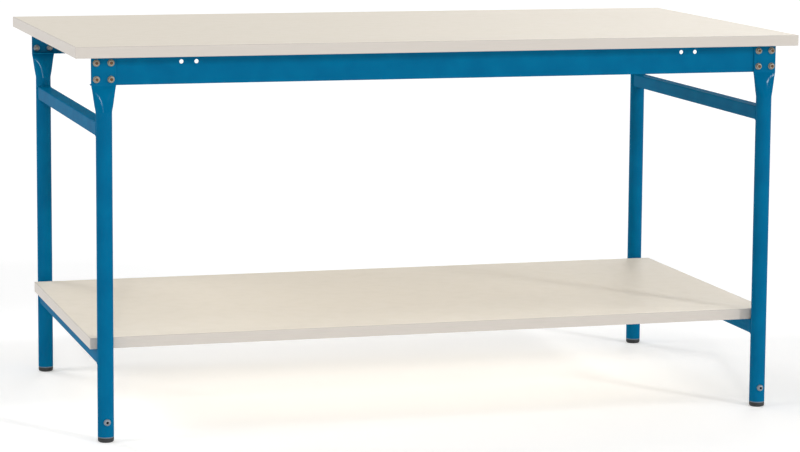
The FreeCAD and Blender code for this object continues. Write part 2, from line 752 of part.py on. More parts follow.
for end, sign in ENDS.items():
    nodes.append(make_rail(f"{end}_rail", f"{sign} * {WEB_Y}", 0 if sign < 0 else 180))
for side, sign in SIDES.items():
    nodes.append(make_cross_rail(f"upper_cross_rail_{side}", f"{sign} * {LEG_X}", UPPER_CROSS_Z, False))
    nodes.append(make_cross_rail(f"lower_cross_rail_{side}", f"{sign} * {LEG_X}", LOWER_CROSS_Z, True))
for name, x, y, facing in corners:
    nodes.append(make_leg(f"leg_{name}", x, y, 0 if facing < 0 else 180))

# A screw's own +Z is turned to point from its head into the table.
bolt, nut = make_flange_bolt(), make_flange_nut()
for name, x, y, facing in corners:
    inwards = -90 if facing < 0 else 90
    bolt_places, nut_places = [], []
    for side in SIDES.values():
        for level in SIDES.values():
            bolt_x = f"{x} + {side} * {BOLT_X}"
            bolt_z = f"{RAIL_Z} + {level} * {BOLT_Z}"
            outer_face = f"{facing} * ({LEG_Y} + dims.leg_wall)"
            inner_face = f"{facing} * ({WEB_Y} - dims.rail_sheet)"
            bolt_places.append((bolt_x, outer_face, bolt_z, ALONG_X, inwards))
            nut_places.append((bolt_x, inner_face, bolt_z, ALONG_X, inwards))
    nodes.append(make_group(f"corner_bolts_{name}", bolt, bolt_places))
    nodes.append(make_group(f"corner_nuts_{name}", nut, nut_places))

top_screw = make_wood_screw("top_screw", "dims.rail_sheet")
for end, sign in ENDS.items():
    places = [
        (x, f"{sign} * {SCREW_LINE_Y}", f"{BOARD_UNDERSIDE} - dims.rail_sheet", ALONG_Z, 0)
        for x in top_screw_positions()
    ]
    nodes.append(make_group(f"tabletop_screws_{end}", top_screw, places))
shelf_screw = make_wood_screw("shelf_screw", "dims.cross_width")
for side, sign in SIDES.items():
    places = [
        (f"{sign} * {LEG_X}", y, f"{SHELF_UNDERSIDE} - dims.cross_width", ALONG_Z, 0)
        for y in shelf_screw_positions()
    ]
    nodes.append(make_group(f"shelf_screws_{side}", shelf_screw, places))

foot_screw = make_foot_screw()
for name, x, y, facing in corners:
    inwards = -90 if facing < 0 else 90
    head_y = f"{y} + {facing} * dims.leg_diameter / 2"
    nodes.append(make_foot_insert(f"foot_insert_{name}", x, y, 0 if facing < 0 else 180))
    nodes.append(make_group(
        f"foot_screw_{name}", foot_screw, [(x, head_y, "dims.foot_screw_height", ALONG_X, inwards)],
    ))
    nodes.append(make_foot_spindle(f"foot_spindle_{name}", x, y))
    nodes.append(make_foot_pad(f"foot_pad_{name}", x, y))

doc.recompute()
for item in doc.Objects:
    if "Invalid" in item.State or "Error" in item.State:
        raise RuntimeError(f"{item.Label} failed: {item.State}")
for node in nodes:
    if node.Shape.isNull() or not node.Shape.isValid():
        raise RuntimeError(f"{node.Label} has no valid shape")
for node in nodes:
    node.Shape.exportStep(f"parts/{node.Label}.step")
    solids = len(node.Shape.Solids)
    print(f"{node.Label}: {solids} solid(s), {node.Shape.Volume / 1000:.2f} cm3")
print(f"{len(nodes)} nodes")
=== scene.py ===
# %% [markdown]
# # Assembly table
# A workshop table with a beige top, a lower shelf and a blue steel frame on
# four levelling feet. Its measured model comes ready made, one node for each
# part, and this lesson gives it its looks: the paint, board and metal finishes,
# and the real shape of the screws, bolts, feet and weld seams.
#
# Loading comes first. Every node lies where it belongs, in metres, with +X to
# the right along the table, +Y to the back and +Z up. The origin is on the
# floor, under the middle of the tabletop.

# %% Load the table's parts
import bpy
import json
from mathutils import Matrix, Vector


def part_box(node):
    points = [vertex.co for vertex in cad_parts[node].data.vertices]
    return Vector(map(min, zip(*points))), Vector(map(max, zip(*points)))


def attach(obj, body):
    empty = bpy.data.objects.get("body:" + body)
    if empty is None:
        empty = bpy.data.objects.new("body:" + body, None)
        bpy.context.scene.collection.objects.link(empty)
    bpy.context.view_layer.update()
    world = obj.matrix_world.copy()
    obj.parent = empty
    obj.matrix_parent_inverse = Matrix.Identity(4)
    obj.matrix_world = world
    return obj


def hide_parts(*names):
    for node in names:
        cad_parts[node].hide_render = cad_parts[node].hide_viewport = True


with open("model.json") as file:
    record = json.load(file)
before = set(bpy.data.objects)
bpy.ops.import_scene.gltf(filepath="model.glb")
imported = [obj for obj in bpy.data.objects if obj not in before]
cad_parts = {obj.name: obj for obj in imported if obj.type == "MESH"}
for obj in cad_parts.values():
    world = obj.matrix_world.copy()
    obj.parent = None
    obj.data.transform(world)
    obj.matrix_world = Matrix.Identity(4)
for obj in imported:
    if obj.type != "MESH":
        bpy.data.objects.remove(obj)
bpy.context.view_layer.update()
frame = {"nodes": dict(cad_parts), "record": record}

print("parts loaded:", len(frame["nodes"]))

# %% [markdown]
# Blender's own modules come next. bpy is Blender, bmesh edits meshes, and
# mathutils has the matrices that turn and move things. Small parts are easier
# to describe in millimetres, so one number turns those into metres.

# %% Modules and units
import json
import math

import bmesh
import bpy
from mathutils import Matrix, Vector

MM = 0.001
scene = bpy.context.scene
print("a millimetre is", MM, "of Blender's units, which are metres")

# %% [markdown]
# ## The camera
# The camera stands at the left front, a little above the tabletop. A wide lens
# could frame the table from closer, but then the far legs would look small. A
# long one stands far away, so that they look nearly as large as the near ones,
# which suits furniture. Three turns aim it: first round the vertical (yaw),
# then down (pitch), then a trace of tilt round its own axis (roll). A small
# vertical shift slides the frame without tilting the camera further, so that
# the legs stay nearly upright.

# %% Set up the camera
camera = bpy.data.objects.new("camera", bpy.data.cameras.new("camera"))
scene.collection.objects.link(camera)
scene.camera = camera
camera.data.sensor_width = 36
camera.data.lens = 130.1
camera.data.shift_y = -0.06
camera.data.clip_end = 200
yaw, pitch, roll = math.radians(-16.179), math.radians(-7.473), math.radians(0.406)
camera.matrix_world = (
    Matrix.Translation((-1.6887, -5.8696, 1.2559))
    @ Matrix.Rotation(yaw, 4, "Z")
    @ Matrix.Rotation(math.pi / 2 + pitch, 4, "X")
    @ Matrix.Rotation(roll, 4, "Z")
)
print("camera looks along", tuple(round(-x, 3) for x in camera.matrix_world.col[2][:3]))

# %% [markdown]
# ## Floor and light
# The floor is a plain pale sheet, wide enough to fill the view. It is part of
# the studio and not of the table, so it is staged. Product studios often use a
# floor of frosted acrylic with lamps below, which takes the shadows away. This
# one glows a little in the same way.
#
# The room's walls give an even glow, and seven lamps stand round the table. Five
# are large and soft. Two of those stand low, in front on the right and behind
# on the left, so that round legs are light at both edges and darker in the
# middle, and the others fill in from the left, from above and from behind. The
# last two are small and stand in front at the height where the pressed
# shoulders of the legs mirror them: they draw the fine bright line there. Area
# lamps would do for the table alone, but they would leave pools of light on the
# floor. So all seven are suns, which light it evenly. The wider a sun, the
# softer its shadow.

# %% Lay the floor
FLOOR_HALF = 60


def hex_colour(code):
    """The linear colour, with alpha, of an sRGB hex code such as #00648E."""
    channels = [int(code[k:k + 2], 16) / 255 for k in (1, 3, 5)]
    # The two branches are the sRGB standard's own curve.
    return [c / 12.92 if c <= 0.04045 else ((c + 0.055) / 1.055) ** 2.4 for c in channels] + [1]


floor_mesh = bpy.data.meshes.new("floor")
signs = ((-1, -1), (1, -1), (1, 1), (-1, 1))
floor_corners = [(x * FLOOR_HALF, y * FLOOR_HALF, 0) for x, y in signs]
floor_mesh.from_pydata(floor_corners, [], [(0, 1, 2, 3)])
floor = bpy.data.objects.new("floor", floor_mesh)
scene.collection.objects.link(floor)
floor_paint = bpy.data.materials.new("floor_paint")
floor_paint.use_nodes = True
floor_shader = floor_paint.node_tree.nodes["Principled BSDF"]
floor_shader.inputs["Base Color"].default_value = hex_colour("#F8F8F8")
floor_shader.inputs["Roughness"].default_value = 0.9
floor_shader.inputs["Specular IOR Level"].default_value = 0.1
floor_shader.inputs["Emission Color"].default_value = hex_colour("#FFFFFF")
floor_shader.inputs["Emission Strength"].default_value = 0.22
floor_mesh.materials.append(floor_paint)
print("floor", 2 * FLOOR_HALF, "m wide")

# %% Light the studio
scene.view_settings.view_transform = "Standard"
room = bpy.data.worlds.new("white_room")
room.use_nodes = True
room.node_tree.nodes["Background"].inputs["Color"].default_value = hex_colour("#FFFFFF")
room.node_tree.nodes["Background"].inputs["Strength"].default_value = 0.28
scene.world = room


def soft_lamp(name, azimuth, elevation, strength, width=24):
    """A sun. Azimuth 0 is in front of the table and 90 to its right, and width is the
    angle that the lamp itself fills. All of them are in degrees."""
    lamp = bpy.data.objects.new(name, bpy.data.lights.new(name, "SUN"))
    scene.collection.objects.link(lamp)
    lamp.data.energy = strength
    lamp.data.angle = math.radians(width)
    a, e = math.radians(azimuth), math.radians(elevation)
    towards = Vector((math.sin(a) * math.cos(e), -math.cos(a) * math.cos(e), math.sin(e)))
    lamp.rotation_euler = towards.to_track_quat("Z", "Y").to_euler()
    print(name, "shines from", tuple(round(x, 2) for x in towards))


soft_lamp("front_right_lamp", azimuth=60, elevation=20, strength=0.4)
soft_lamp("top_lamp", azimuth=0, elevation=75, strength=0.35)
soft_lamp("glint_lamp_left", azimuth=-14, elevation=18, strength=0.5, width=4)
soft_lamp("glint_lamp_right", azimuth=34, elevation=22, strength=0.85, width=6)
soft_lamp("left_lamp", azimuth=-90, elevation=42, strength=0.7)
soft_lamp("back_left_lamp", azimuth=-150, elevation=20, strength=1.0)
soft_lamp("back_right_lamp", azimuth=150, elevation=20, strength=0.5)

# %% [markdown]
# ## Materials
# Each finish is a small tree of shader nodes. It could be wired by hand in the
# shader editor, but written down it can be read and changed in one place. One
# helper adds a node: it sets each input either to a value or, where it is given
# another node's output, to a link, and hands back the output that is wanted. A
# colour ramp also gets its colours.
#
# Patterns are measured in object coordinates, which are metres here. A noise
# texture of scale s shows about s bumps a metre, so a pattern of p millimetres
# needs a scale of 1 / (p * MM). The noise fills space, so nothing is unwrapped.
# Its value goes from 0 to 1, but most of it lies between 0.3 and 0.7, and
# colours and roughness are spread over that part.

# %% A helper for nodes
NOISE_LOW, NOISE_HIGH = 0.3, 0.7
NOISE_RANGE = {"From_Min": NOISE_LOW, "From_Max": NOISE_HIGH}


def add(tree, kind, output, colours=(), **inputs):
    """Adds a node and returns one output. Inputs are values or other nodes' outputs."""
    node = tree.nodes.new(kind)
    for name, value in inputs.items():
        socket = node.inputs[name.replace("_", " ")]
        if isinstance(value, bpy.types.NodeSocket):
            tree.links.new(value, socket)
        else:
            socket.default_value = value
    if colours:
        ramp = node.color_ramp.elements
        while len(ramp) < len(colours):
            ramp.new(0.5)
        for k, colour in enumerate(colours):
            ramp[k].position = NOISE_LOW + (NOISE_HIGH - NOISE_LOW) * k / (len(colours) - 1)
            ramp[k].color = hex_colour(colour)
    return node.outputs[output]


print("a pattern of 2 mm needs a noise of scale", 1 / (2 * MM))


# %% A new finish
def new_finish(name, **settings):
    """A material with one Principled shader, its tree, that shader and the place on the object."""
    material = bpy.data.materials.new(name)
    material.use_nodes = True
    tree = material.node_tree
    shader = tree.nodes["Principled BSDF"]
    for socket, value in settings.items():
        shader.inputs[socket.replace("_", " ")].default_value = value
    place = add(tree, "ShaderNodeTexCoord", "Object")
    print("finish:", name)
    return material, tree, shader, place


# %% [markdown]
# ### Blue polyester powder coat
# The frame is sprayed with dry polyester powder and baked. The powder melts
# into a film a tenth of a millimetre thick that never levels quite flat: its
# surface keeps shallow dimples two millimetres apart and two hundredths of a
# millimetre deep, called orange peel. They could be modelled, but that would
# take millions of points, and a bump does as well for such a small depth. The
# filler in the powder makes this grade nearly matt, so the body of the film
# mirrors almost nothing. Only the clear resin skin on top has a weak gloss,
# which is a thin coat in the shader: it shows where a small lamp falls on a
# bend. The film is also a little thicker in some places than in others, which
# shows as a faint change of tone.

# %% Blue powder coat
def blue_powder_coat():
    material, tree, shader, place = new_finish(
        "blue_powder_coat", Roughness=0.45, IOR=1.5, Specular_IOR_Level=0.001,
        Coat_Weight=0.065, Coat_Roughness=0.1,
    )
    film = add(tree, "ShaderNodeTexNoise", "Fac", Vector=place, Scale=1 / (45 * MM), Detail=2)
    tone = add(tree, "ShaderNodeValToRGB", "Color", ["#00608A", "#00648E", "#006892"], Fac=film)
    peel = add(tree, "ShaderNodeTexNoise", "Fac", Vector=place, Scale=1 / (2.2 * MM), Detail=1)
    dimples = add(tree, "ShaderNodeBump", "Normal", Height=peel, Distance=0.018 * MM, Strength=1)
    tree.links.new(tone, shader.inputs["Base Color"])
    tree.links.new(dimples, shader.inputs["Normal"])
    return material


frame_paint = blue_powder_coat()

# %% [markdown]
# ### Melamine-faced chipboard
# Top and shelf are chipboard pressed between two sheets of decor paper soaked
# in melamine resin. The press plate has a fine pearl structure, pits of about
# half a millimetre, and the cured resin copies it: that is what makes the beige
# face look silky and not shiny. Half a millimetre is finer than a view of the
# whole table can show, so the pits are drawn 1.6 mm wide. The same noise sets
# the roughness and the bump, because the press plate makes both. The paper
# itself is printed in one colour, with a barely visible cloudiness. A picture
# of such a paper could show it too, but a noise never repeats.

# %% Melamine-faced board
def melamine_board():
    material, tree, shader, place = new_finish(
        "melamine_faced_chipboard", IOR=1.55, Specular_IOR_Level=0.06,
    )
    clouds = add(tree, "ShaderNodeTexNoise", "Fac", Vector=place, Scale=1 / (28 * MM), Detail=4)
    paper = add(tree, "ShaderNodeValToRGB", "Color", ["#EEE6D8", "#F0E8DA", "#F1E9DC"], Fac=clouds)
    pits = add(tree, "ShaderNodeTexNoise", "Fac", Vector=place, Scale=1 / (1.6 * MM), Detail=1)
    silk = add(
        tree, "ShaderNodeMapRange", "Result", Value=pits, **NOISE_RANGE, To_Min=0.44, To_Max=0.56,
    )
    pearl = add(tree, "ShaderNodeBump", "Normal", Height=pits, Distance=0.03 * MM, Strength=1)
    tree.links.new(paper, shader.inputs["Base Color"])
    tree.links.new(silk, shader.inputs["Roughness"])
    tree.links.new(pearl, shader.inputs["Normal"])
    return material


board_face = melamine_board()

# %% [markdown]
# ### Extruded ABS edge band
# The board's raw edges are covered with a band of ABS plastic, two millimetres
# thick, glued on hot and milled round. The band is extruded through a slot, and
# the die leaves fine lines along its length. A wave texture draws lines too,
# but all alike, so they come from a noise that is stretched: quick to change
# across the band's height, slow along it. Real ones are a few tenths of a
# millimetre apart, and these 0.9 mm, so that they show. The plastic is a shade
# greyer than the paper.

# %% Edge band
def edge_band():
    material, tree, shader, place = new_finish(
        "extruded_abs_edge_band", IOR=1.53, Specular_IOR_Level=0.2,
    )
    drawn = add(tree, "ShaderNodeMapping", "Vector", Vector=place, Scale=(0.02, 0.02, 1))
    lines = add(tree, "ShaderNodeTexNoise", "Fac", Vector=drawn, Scale=1 / (0.9 * MM), Detail=3)
    tone = add(tree, "ShaderNodeValToRGB", "Color", ["#CCC5BC", "#CEC7BF", "#D0C9C1"], Fac=lines)
    gloss = add(
        tree, "ShaderNodeMapRange", "Result", Value=lines, **NOISE_RANGE, To_Min=0.38, To_Max=0.5,
    )
    grooves = add(tree, "ShaderNodeBump", "Normal", Height=lines, Distance=0.02 * MM, Strength=1)
    tree.links.new(tone, shader.inputs["Base Color"])
    tree.links.new(gloss, shader.inputs["Roughness"])
    tree.links.new(grooves, shader.inputs["Normal"])
    return material


band_plastic = edge_band()

# %% [markdown]
# ### Zinc plating, passivated yellow or blue
# Screws and bolts are plated with zinc and dipped in a chromate bath. A thick
# chromate film is yellow and shimmers from green to pink like oil on water, and
# in a hollow, where the bath dries last, it goes brown. The dark brown in the
# bolts' dish is partly that tint and partly painted shade, the darkness that the
# hollow would show. A thin film is nearly clear, with a touch of blue. Both are
# metals, so the colour is in the reflection. The shader can work such colours
# out from a film's thickness, but chosen ones are easier to match, so the
# shimmer is a noise of a few millimetres that blends them. The zinc's own grain
# is far finer than a tenth of a millimetre, and drawn at half a millimetre. So
# there are four finishes: yellow, brown with painted shade in the dish, blue,
# and the same zinc painted nearly black in a hexagon socket as painted shade.

# %% Passivated zinc
def passivated_zinc(name, roughness, *colours):
    material, tree, shader, place = new_finish(name, Metallic=1)
    film = add(tree, "ShaderNodeTexNoise", "Fac", Vector=place, Scale=1 / (4 * MM), Detail=3)
    shimmer = add(tree, "ShaderNodeValToRGB", "Color", colours, Fac=film)
    grain = add(tree, "ShaderNodeTexNoise", "Fac", Vector=place, Scale=1 / (0.5 * MM), Detail=2)
    gloss = add(
        tree, "ShaderNodeMapRange", "Result", Value=grain, **NOISE_RANGE,
        To_Min=roughness - 0.07, To_Max=roughness + 0.07,
    )
    crystals = add(tree, "ShaderNodeBump", "Normal", Height=grain, Distance=0.01 * MM, Strength=1)
    tree.links.new(shimmer, shader.inputs["Base Color"])
    tree.links.new(gloss, shader.inputs["Roughness"])
    tree.links.new(crystals, shader.inputs["Normal"])
    return material


yellow_zinc = passivated_zinc(
    "yellow_passivated_zinc", 0.48, "#929182", "#9F998A", "#9D9289", "#95978C",
)
# Partly real, partly painted shade: the thick film's brown, made darker for the dish's shade.
dish_brown_and_shade_zinc = passivated_zinc(
    "yellow_zinc_and_painted_shade_in_hollow", 0.55, "#644A38", "#735843", "#6B513D",
)
# Painted shade: the hexagon socket's zinc is coloured nearly black for the hollow's darkness.
socket_painted_shade_zinc = passivated_zinc("zinc_painted_shade_in_socket", 0.5, "#15181C", "#1E2227", "#181C20")
blue_zinc = passivated_zinc("blue_passivated_zinc", 0.48, "#828A92", "#8F979E", "#8A929C")

# %% [markdown]
# ### Die-cast insert
# The threaded inserts in the leg ends are cast in zinc alloy under pressure and
# tumbled to take the burrs off. That leaves them matt and light grey, with a
# skin that is rough at about a millimetre. Separate noises could draw its
# colour, gloss and relief, but in a real casting the same marks show in all
# three, so one noise drives them all.

# %% Die-cast metal
def die_cast_metal():
    material, tree, shader, place = new_finish("tumbled_zinc_die_casting", Metallic=1)
    marks = add(tree, "ShaderNodeTexNoise", "Fac", Vector=place, Scale=1 / (1.2 * MM), Detail=3)
    tone = add(tree, "ShaderNodeValToRGB", "Color", ["#6F7C86", "#7D8992"], Fac=marks)
    gloss = add(
        tree, "ShaderNodeMapRange", "Result", Value=marks, **NOISE_RANGE, To_Min=0.42, To_Max=0.6,
    )
    skin = add(tree, "ShaderNodeBump", "Normal", Height=marks, Distance=0.03 * MM, Strength=1)
    tree.links.new(tone, shader.inputs["Base Color"])
    tree.links.new(gloss, shader.inputs["Roughness"])
    tree.links.new(skin, shader.inputs["Normal"])
    return material


cast_metal = die_cast_metal()

# %% [markdown]
# ### Moulded black polyamide
# The foot pads are injection moulded in glass-filled polyamide. The mould is
# eroded by sparks, which gives the plastic an even, fine, matt grain of about
# 0.3 mm, drawn here at 0.7 mm. Scuffs from the floor grey it a little. They are
# much larger than the grain, so they have a noise of their own.

# %% Moulded polyamide
def moulded_polyamide():
    material, tree, shader, place = new_finish("moulded_black_polyamide", IOR=1.53)
    scuffs = add(tree, "ShaderNodeTexNoise", "Fac", Vector=place, Scale=1 / (6 * MM), Detail=4)
    tone = add(tree, "ShaderNodeValToRGB", "Color", ["#1B1D1F", "#222527", "#2B2E30"], Fac=scuffs)
    grain = add(tree, "ShaderNodeTexNoise", "Fac", Vector=place, Scale=1 / (0.7 * MM), Detail=2)
    gloss = add(
        tree, "ShaderNodeMapRange", "Result", Value=grain, **NOISE_RANGE, To_Min=0.45, To_Max=0.6,
    )
    sparked = add(tree, "ShaderNodeBump", "Normal", Height=grain, Distance=0.03 * MM, Strength=1)
    tree.links.new(tone, shader.inputs["Base Color"])
    tree.links.new(gloss, shader.inputs["Roughness"])
    tree.links.new(sparked, shader.inputs["Normal"])
    return material


pad_plastic = moulded_polyamide()

# %% [markdown]
# ## The large parts
# Boards, edge bands, rails, cross rails, legs and inserts already have their
# real shape, so they stay as they are and only get their finish. The record
# says which finish each one takes.

# %% Finish the large parts
FINISHES = {
    "board": board_face,
    "edge_band": band_plastic,
    "frame_enamel": frame_paint,
    "yellow_zinc": yellow_zinc,
    "bright_zinc": blue_zinc,
    "foot_insert": cast_metal,
    "foot_pad": pad_plastic,
}
for part in frame["record"]["subparts"]:
    mesh = frame["nodes"][part["node"]].data
    mesh.materials.clear()
    mesh.materials.append(FINISHES[part["material_slot"]])

# %% [markdown]
# ## Turned parts
# Screws, bolts, nuts and feet are all shapes on an axis. They could be made
# with a screw modifier, but a hexagon, a cross recess and a round head then
# need cutting and joining. Here each one is a stack of rings instead: every
# ring has its own radius, which may change with the angle, so a hexagonal ring
# can follow a round one. Quads join each ring to the next, and a ring of radius
# nought closes an end.

# %% Rings
def ring(bm, radius, height, steps):
    """A closed ring of points round Z. Radius and height are numbers or functions of the angle."""
    points = []
    for step in range(steps):
        angle = math.tau * step / steps
        r = radius(angle) if callable(radius) else radius
        z = height(angle) if callable(height) else height
        points.append(bm.verts.new((r * math.cos(angle), r * math.sin(angle), z)))
    return points


def stack(bm, rings, steps=24, slot=0):
    """Joins each (radius, height) ring to the next with quads."""
    loops = [ring(bm, radius, height, steps) for radius, height in rings]
    for lower, upper in zip(loops, loops[1:]):
        for a in range(steps):
            b = (a + 1) % steps
            bm.faces.new((lower[a], lower[b], upper[b], upper[a])).material_index = slot


def hexagon(flats):
    """The radius, at an angle, of a hexagon so wide across its flats."""
    sixth = math.pi / 3
    return lambda angle: flats / 2 / math.cos((angle + sixth / 2) % sixth - sixth / 2)


def rounding(radius, height, corner, steps=4):
    """Rings that round a rim: from the wall at this radius up to the face at this height."""
    turns = [math.pi / 2 * k / steps for k in range(steps + 1)]
    return [
        (radius - corner + corner * math.cos(t), height - corner + corner * math.sin(t))
        for t in turns
    ]


across_corners = 2 * hexagon(10.0)(math.pi / 6)
print("a hexagon of 10 mm is", round(across_corners, 2), "mm wide from corner to corner")


# %% [markdown]
# A bump could suggest a screw thread, but its outline would stay straight, so
# these threads are real. A thread is a ridge that climbs one pitch a turn. Four
# points make its profile: two at the root and two at the crest. Each column of
# points stands a little higher than the one before, so after a full turn the
# last column meets the first one, a pitch further up. At both ends the points
# are held at the end's height and the ridge fades out, so that plain rings can
# join on.

# %% Threads
PROFILE = [(0.125, 0), (0.44, 1), (0.56, 1), (0.875, 0)]  # shares of the pitch and of the depth
print("points in a thread's profile:", len(PROFILE))


def thread(bm, core, crest, low, high, pitch, steps=24):
    """A right-hand thread between two heights, from its core radius to its crest radius."""
    rows = len(PROFILE) * (math.ceil((high - low) / pitch) + 2)
    columns = []
    for step in range(steps + 1):
        angle = math.tau * step / steps
        points = []
        for row in range(rows):
            share, out = PROFILE[row % len(PROFILE)]
            z = low + (row // len(PROFILE) - 1 + share + step / steps) * pitch
            z = min(max(z, low), high)
            r = core + (crest - core) * out * min(1, (z - low) / pitch, (high - z) / pitch)
            points.append(bm.verts.new((r * math.cos(angle), r * math.sin(angle), z)))
        columns.append(points)
    for left, right in zip(columns, columns[1:]):
        for k in range(rows - 1):
            bm.faces.new((left[k], right[k], right[k + 1], left[k + 1]))


# %% [markdown]
# Most screws come in groups. They could be linked copies of one mesh, but a
# group stands for one part of the model, so it has to be one object. A master
# is made once, in millimetres, and copied to every place in the group's mesh. A
# place is a point and the way that the head faces, and each copy is turned a
# little further, by the golden angle, because no two screws end at the same
# angle.

# %% From a master to a piece
def master_mesh(name, bm):
    """Cleans a part's mesh: merges points that fell together and turns every face outwards."""
    bmesh.ops.remove_doubles(bm, verts=bm.verts, dist=1e-4)
    bmesh.ops.dissolve_degenerate(bm, edges=bm.edges, dist=1e-5)
    bmesh.ops.recalc_face_normals(bm, faces=bm.faces)
    mesh = bpy.data.meshes.new(name)
    bm.to_mesh(mesh)
    bm.free()
    return mesh


def facing(x, y, z, way, turn):
    """A place in millimetres, with the part's own +Z along way, turned round it."""
    up = Vector(way)
    side = Vector((1, 0, 0))
    axes = Matrix((side, up.cross(side), up)).transposed().to_4x4()
    return Matrix.Translation((x, y, z)) @ axes @ Matrix.Rotation(turn, 4, "Z")


def make_piece(name, master, places, body, node, slot, *finishes, smooth=35):
    """One object with the master at every place. It rides on a body and stands for a node."""
    bm = bmesh.new()
    for place in places:
        copy = master.copy()
        copy.transform(Matrix.Scale(MM, 4) @ place)
        bm.from_mesh(copy)
        bpy.data.meshes.remove(copy)
    mesh = bpy.data.meshes.new(name)
    bm.to_mesh(mesh)
    bm.free()
    for finish in finishes:
        mesh.materials.append(finish)
    mesh.shade_smooth()
    mesh.set_sharp_from_angle(angle=math.radians(smooth))
    piece = bpy.data.objects.new(name, mesh)
    scene.collection.objects.link(piece)
    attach(piece, body)
    if node:
        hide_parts(node)
    print(name, "faces:", len(mesh.polygons))
    return piece


GOLDEN_ANGLE = math.radians(137.5)
ENDS = {"front": -1, "rear": 1}
SIDES = {"left": -1, "right": 1}
CORNERS = [(f"{end}_{side}", ENDS[end], SIDES[side]) for end in ENDS for side in SIDES]


def box_mm(node):
    """A node's box in millimetres."""
    low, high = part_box(node)
    return low / MM, high / MM


def middle_mm(node):
    """The middle of a node's box in millimetres."""
    return [(a + b) / 2 for a, b in zip(*box_mm(node))]


print("corners:", [corner for corner, end, side in CORNERS])


# %% [markdown]
# Some places follow from the steel frame. They are in millimetres, from the
# middle of the table or from the floor.

# %% Measures of the frame
LEG_AXIS_Y = 366.0  # front and rear leg, from the middle
LEG_RADIUS = 16.0
LEG_WALL = 1.5
CROSS_TUBE_HALF = 14.0
CROSS_TUBE_CORNER = 2.5
TABLETOP_UNDERSIDE = 758.0
SHELF_UNDERSIDE = 181.0
RAIL_SHEET = 2.0

flat_face = LEG_AXIS_Y + LEG_WALL  # a leg pressed flat is two walls thick
leg_front = LEG_AXIS_Y + LEG_RADIUS
print("outer face of the flattened leg:", flat_face, "and of the round leg:", leg_front)

# %% [markdown]
# ### Corner bolts
# Four M6 flange bolts at each corner clamp the flattened leg to the rail. The
# head is forged: a hexagon of 10 mm across flats grows out of a round flange,
# its corners are chamfered, and the top has a dish. The chamfer is a cone that
# cuts the six walls, so the walls end in arcs: highest in the middle of each
# flat and lowest at the corners. A Boolean modifier could cut it, but the height
# where cone and wall meet is a short formula, and that leaves clean quads.

# %% The shape that bolts and nuts share
FLANGE_RADIUS = 7.0
HEAD_HEIGHT = 6.0  # with the flange, and the nut's height too
FACE_RADIUS = 4.8  # the flat face inside the chamfer
CHAMFER_SLOPE = math.tan(math.radians(30))
hexagon_wall = hexagon(10.0)  # across its flats


def chamfered_top(angle):
    """The height, at an angle, where the hexagon's wall meets the chamfer's cone."""
    return HEAD_HEIGHT - max(0, hexagon_wall(angle) - FACE_RADIUS) * CHAMFER_SLOPE


HEAD_RINGS = [
    (6.6, 0), (FLANGE_RADIUS, 0.3), (FLANGE_RADIUS, 0.9), (6.7, 1.25), (5.95, 1.75),
    (hexagon_wall, 2.3), (hexagon_wall, chamfered_top), (FACE_RADIUS, HEAD_HEIGHT),
]


def bolt_pattern(node):
    """Where a corner's four bolts or nuts stand, as (x, z)."""
    low, high = box_mm(node)
    xs = (low.x + FLANGE_RADIUS, high.x - FLANGE_RADIUS)
    zs = (low.z + FLANGE_RADIUS, high.z - FLANGE_RADIUS)
    return [(x, z) for x in xs for z in zs]


print("rings in a head:", len(HEAD_RINGS))

# %% Corner bolts
def bolt_master():
    """An M6 flange bolt, 14 mm long under the head. Its seat is at height nought."""
    bm = bmesh.new()
    core, crest, tip, thread_end = 2.45, 3.0, -14.0, -1.2
    bevel = 0.3
    stack(bm, [(0, tip), (core - 0.2, tip), (core, tip + bevel)])
    thread(bm, core, crest, tip + bevel, thread_end, pitch=1.0)
    neck = [(core, thread_end), (crest, -0.8), (crest, 0)]
    dish_edge = (3.15, 5.9)
    stack(bm, neck + HEAD_RINGS + [(3.4, HEAD_HEIGHT), dish_edge])
    # The dish takes the second finish: brown zinc darkened as painted shade.
    stack(bm, [dish_edge, (2.6, 5.1), (2.1, 4.85), (0, 4.8)], slot=1)
    return master_mesh("corner_bolt", bm)


bolt = bolt_master()
for corner, end, side in CORNERS:
    places = [
        facing(x, end * flat_face, z, (0, end, 0), turn=GOLDEN_ANGLE * (k + 5 * end + 3 * side))
        for k, (x, z) in enumerate(bolt_pattern(f"corner_bolts_{corner}"))
    ]
    make_piece(
        f"corner_bolt_set_{corner}", bolt, places, "table", f"corner_bolts_{corner}",
        "yellow_zinc", yellow_zinc, dish_brown_and_shade_zinc,
    )

# %% [markdown]
# ### Corner nuts
# Behind the rail each bolt has a flange nut. Its bore starts in a small
# countersink at either end, and its walls are chamfered as the bolt's are. The
# bolt fills the bore, so the nut's own thread never shows and isn't made. Only
# from behind or below can the nuts be seen.

# %% Corner nuts
def nut_master():
    """A flange nut, with its seat at height nought and a plain bore."""
    bm = bmesh.new()
    bore, mouth, countersink = 3.1, 3.6, 0.5
    low_end = [(bore, countersink), (mouth, 0)]
    high_end = [(mouth, HEAD_HEIGHT), (bore, HEAD_HEIGHT - countersink), (bore, countersink)]
    stack(bm, low_end + HEAD_RINGS + high_end)
    return master_mesh("corner_nut", bm)


nut = nut_master()
for corner, end, side in CORNERS:
    low, high = box_mm(f"corner_nuts_{corner}")
    seat = low.y if end < 0 else high.y
    places = [
        facing(x, seat, z, (0, -end, 0), turn=GOLDEN_ANGLE * (k + 7 * end + 2 * side))
        for k, (x, z) in enumerate(bolt_pattern(f"corner_nuts_{corner}"))
    ]
    make_piece(
        f"corner_nut_set_{corner}", nut, places, "table", f"corner_nuts_{corner}",
        "bright_zinc", blue_zinc,
    )

